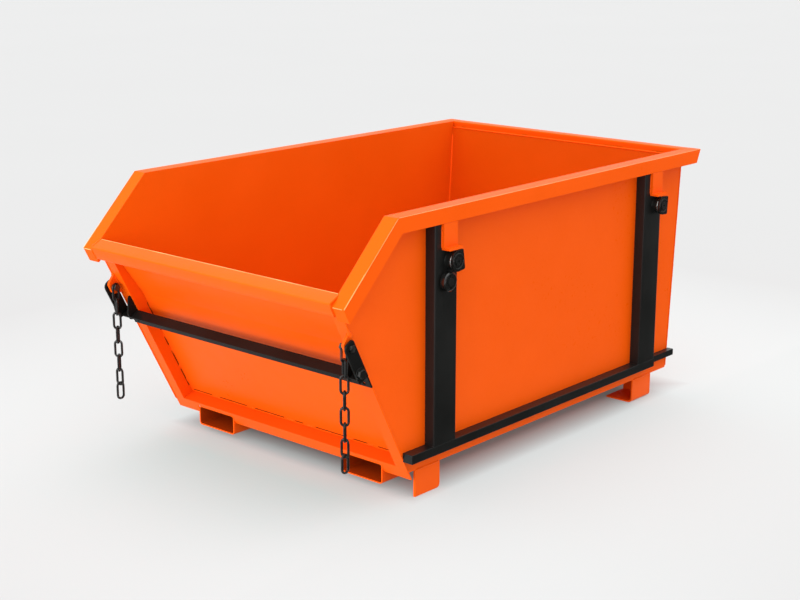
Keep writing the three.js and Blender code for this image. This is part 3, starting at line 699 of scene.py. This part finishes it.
def floor():
    """Pale paper with a painted glow: weaker under the bin for a deeper shadow, stronger near it to lift
    its shadow, and with less red in front of it.
    """
    g = Graph("floor_paper")
    g.surface("Base Color", g.mix(g.noise(0.6, detail=2.0), *PAPER))
    across, along = [g.add("SeparateXYZ", {"Vector": g.place}, axis) for axis in "XY"]
    across = g.math("ABSOLUTE", across)
    past_side = g.math("SUBTRACT", across, BIN_HALF_WIDTH)
    from_middle = g.math("ABSOLUTE", g.math("SUBTRACT", along, BIN_MIDDLE))
    past_end = g.math("SUBTRACT", from_middle, BIN_HALF_LENGTH)
    beside, beyond = g.math("MAXIMUM", past_side, 0.0), g.math("MAXIMUM", past_end, 0.0)
    squares = g.math("ADD", g.math("MULTIPLY", beside, beside), g.math("MULTIPLY", beyond, beyond))
    # Painted light: the glow is stronger near the bin, lifting the shadow around it.
    clear = g.span(g.math("MAXIMUM", past_side, past_end), *UNDER_EDGE)
    near = g.math("MULTIPLY", g.span(g.math("SQRT", squares), 0.0, NEAR_REACH, 1.0, 0.0), clear)
    # Less red glow ahead of the bin offsets the orange light that the bin bounces onto the floor there.
    ahead = g.span(along, *AHEAD_RISE)
    ahead = g.math("MULTIPLY", g.math("MULTIPLY", ahead, ahead), g.span(along, *AHEAD_END))
    ahead = g.math("MULTIPLY", ahead, g.span(across, *AHEAD_WIDTH, smooth=True))
    # Painted shade: under the bin the glow drops to a share of its strength, for a deeper shadow there.
    share = g.span(clear, 0.0, 1.0, UNDER_SHARE, 1.0)
    red, green = [
        g.math("ADD", g.math("MULTIPLY", share, FAR_GLOW[part]), g.math("MULTIPLY", near, NEAR_GLOW[part]))
        for part in ("red", "green")
    ]
    red = g.math("SUBTRACT", red, g.math("MULTIPLY", ahead, BOUNCED_RED))
    g.surface("Emission Color", g.add("CombineXYZ", {"X": red, "Y": green, "Z": green}, "Vector"))
    g.surface("Emission Strength", 1.0)
    g.surface("Roughness", 0.9)
    g.surface("Specular IOR Level", 0.1)
    piece = sheet("floor", FLOOR_CORNERS, g.material)
    return piece


# Light

HORIZON, OVERHEAD = 0.87, 2.6
WHITE = (1.0, 1.0, 1.0, 1.0)
CARD = ((0.010, 0.010, 0.010), (0.014, 0.014, 0.014))
CARD_CORNERS = ((0.66, -1.6, 0.003), (6.0, -1.6, 0.003), (6.0, 6.0, 0.003), (0.66, 6.0, 0.003))
LOW_FRONT = {"place": (-0.3, -5.0, 1.0), "target": (0.0, -0.8, 0.4), "width": 5.0, "height": 1.7}
LOW_FRONT_RADIANCE = 6.2


def sky(low, high):
    """A studio sky: dim near the horizon, bright overhead."""
    world = bpy.data.worlds.new("studio")
    scene.world = world
    world.use_nodes = True
    tree = world.node_tree
    place = tree.nodes.new("ShaderNodeTexCoord").outputs["Generated"]
    split = tree.nodes.new("ShaderNodeSeparateXYZ")
    tree.links.new(place, split.inputs["Vector"])
    square = tree.nodes.new("ShaderNodeMath")
    square.operation = "MULTIPLY"
    tree.links.new(split.outputs["Z"], square.inputs[0])
    tree.links.new(split.outputs["Z"], square.inputs[1])
    level = tree.nodes.new("ShaderNodeMapRange")
    level.inputs["To Min"].default_value = low
    level.inputs["To Max"].default_value = high
    tree.links.new(square.outputs["Value"], level.inputs["Value"])
    background = tree.nodes["Background"]
    tree.links.new(level.outputs["Result"], background.inputs["Strength"])
    background.inputs["Color"].default_value = WHITE


def flag(name, corners):
    """A dark card that only reflections see."""
    g = Graph(name)
    g.surface("Base Color", g.mix(g.noise(2.0), *CARD))
    g.surface("Roughness", 1.0)
    g.surface("Specular IOR Level", 0.0)
    piece = sheet(name, corners, g.material)
    for ray in ("camera", "diffuse", "shadow", "transmission", "volume_scatter"):
        setattr(piece, f"visible_{ray}", False)


def softbox(name, place, target, width, height, radiance, unlit):
    """An area light that leaves out some pieces."""
    light = bpy.data.lights.new(name, "AREA")
    light.shape = "RECTANGLE"
    light.size = width
    light.size_y = height
    light.energy = radiance * math.pi * width * height
    lamp = bpy.data.objects.new(name, light)
    scene.collection.objects.link(lamp)
    lamp.location = place
    lamp.rotation_euler = (Vector(place) - Vector(target)).to_track_quat("Z", "Y").to_euler()
    kept_dark = bpy.data.collections.new(f"{name}_kept_dark")
    for piece in unlit:
        kept_dark.objects.link(piece)
    for member in kept_dark.collection_objects:
        member.light_linking.link_state = "EXCLUDE"
    lamp.light_linking.receiver_collection = kept_dark


ground = floor()
sky(HORIZON, OVERHEAD)
kept_off = [ground, nodes["rear_wall"], nodes["rear_rim"]]
softbox("low_front", **LOW_FRONT, radiance=LOW_FRONT_RADIANCE, unlit=kept_off)
flag("dark_card", CARD_CORNERS)


# Camera

LENS, SENSOR, FARTHEST = 68.58, 36.0, 200.0
EYE = (3.4805, -3.9686, 1.8228)
DOWN, ROUND = 14.80, 41.54

camera = bpy.data.cameras.new("camera")
camera.sensor_width = SENSOR
camera.lens = LENS
camera.clip_end = FARTHEST
eye = bpy.data.objects.new("camera", camera)
scene.collection.objects.link(eye)
eye.location = EYE
eye.rotation_euler = (math.radians(90 - DOWN), 0.0, math.radians(ROUND))
scene.camera = eye
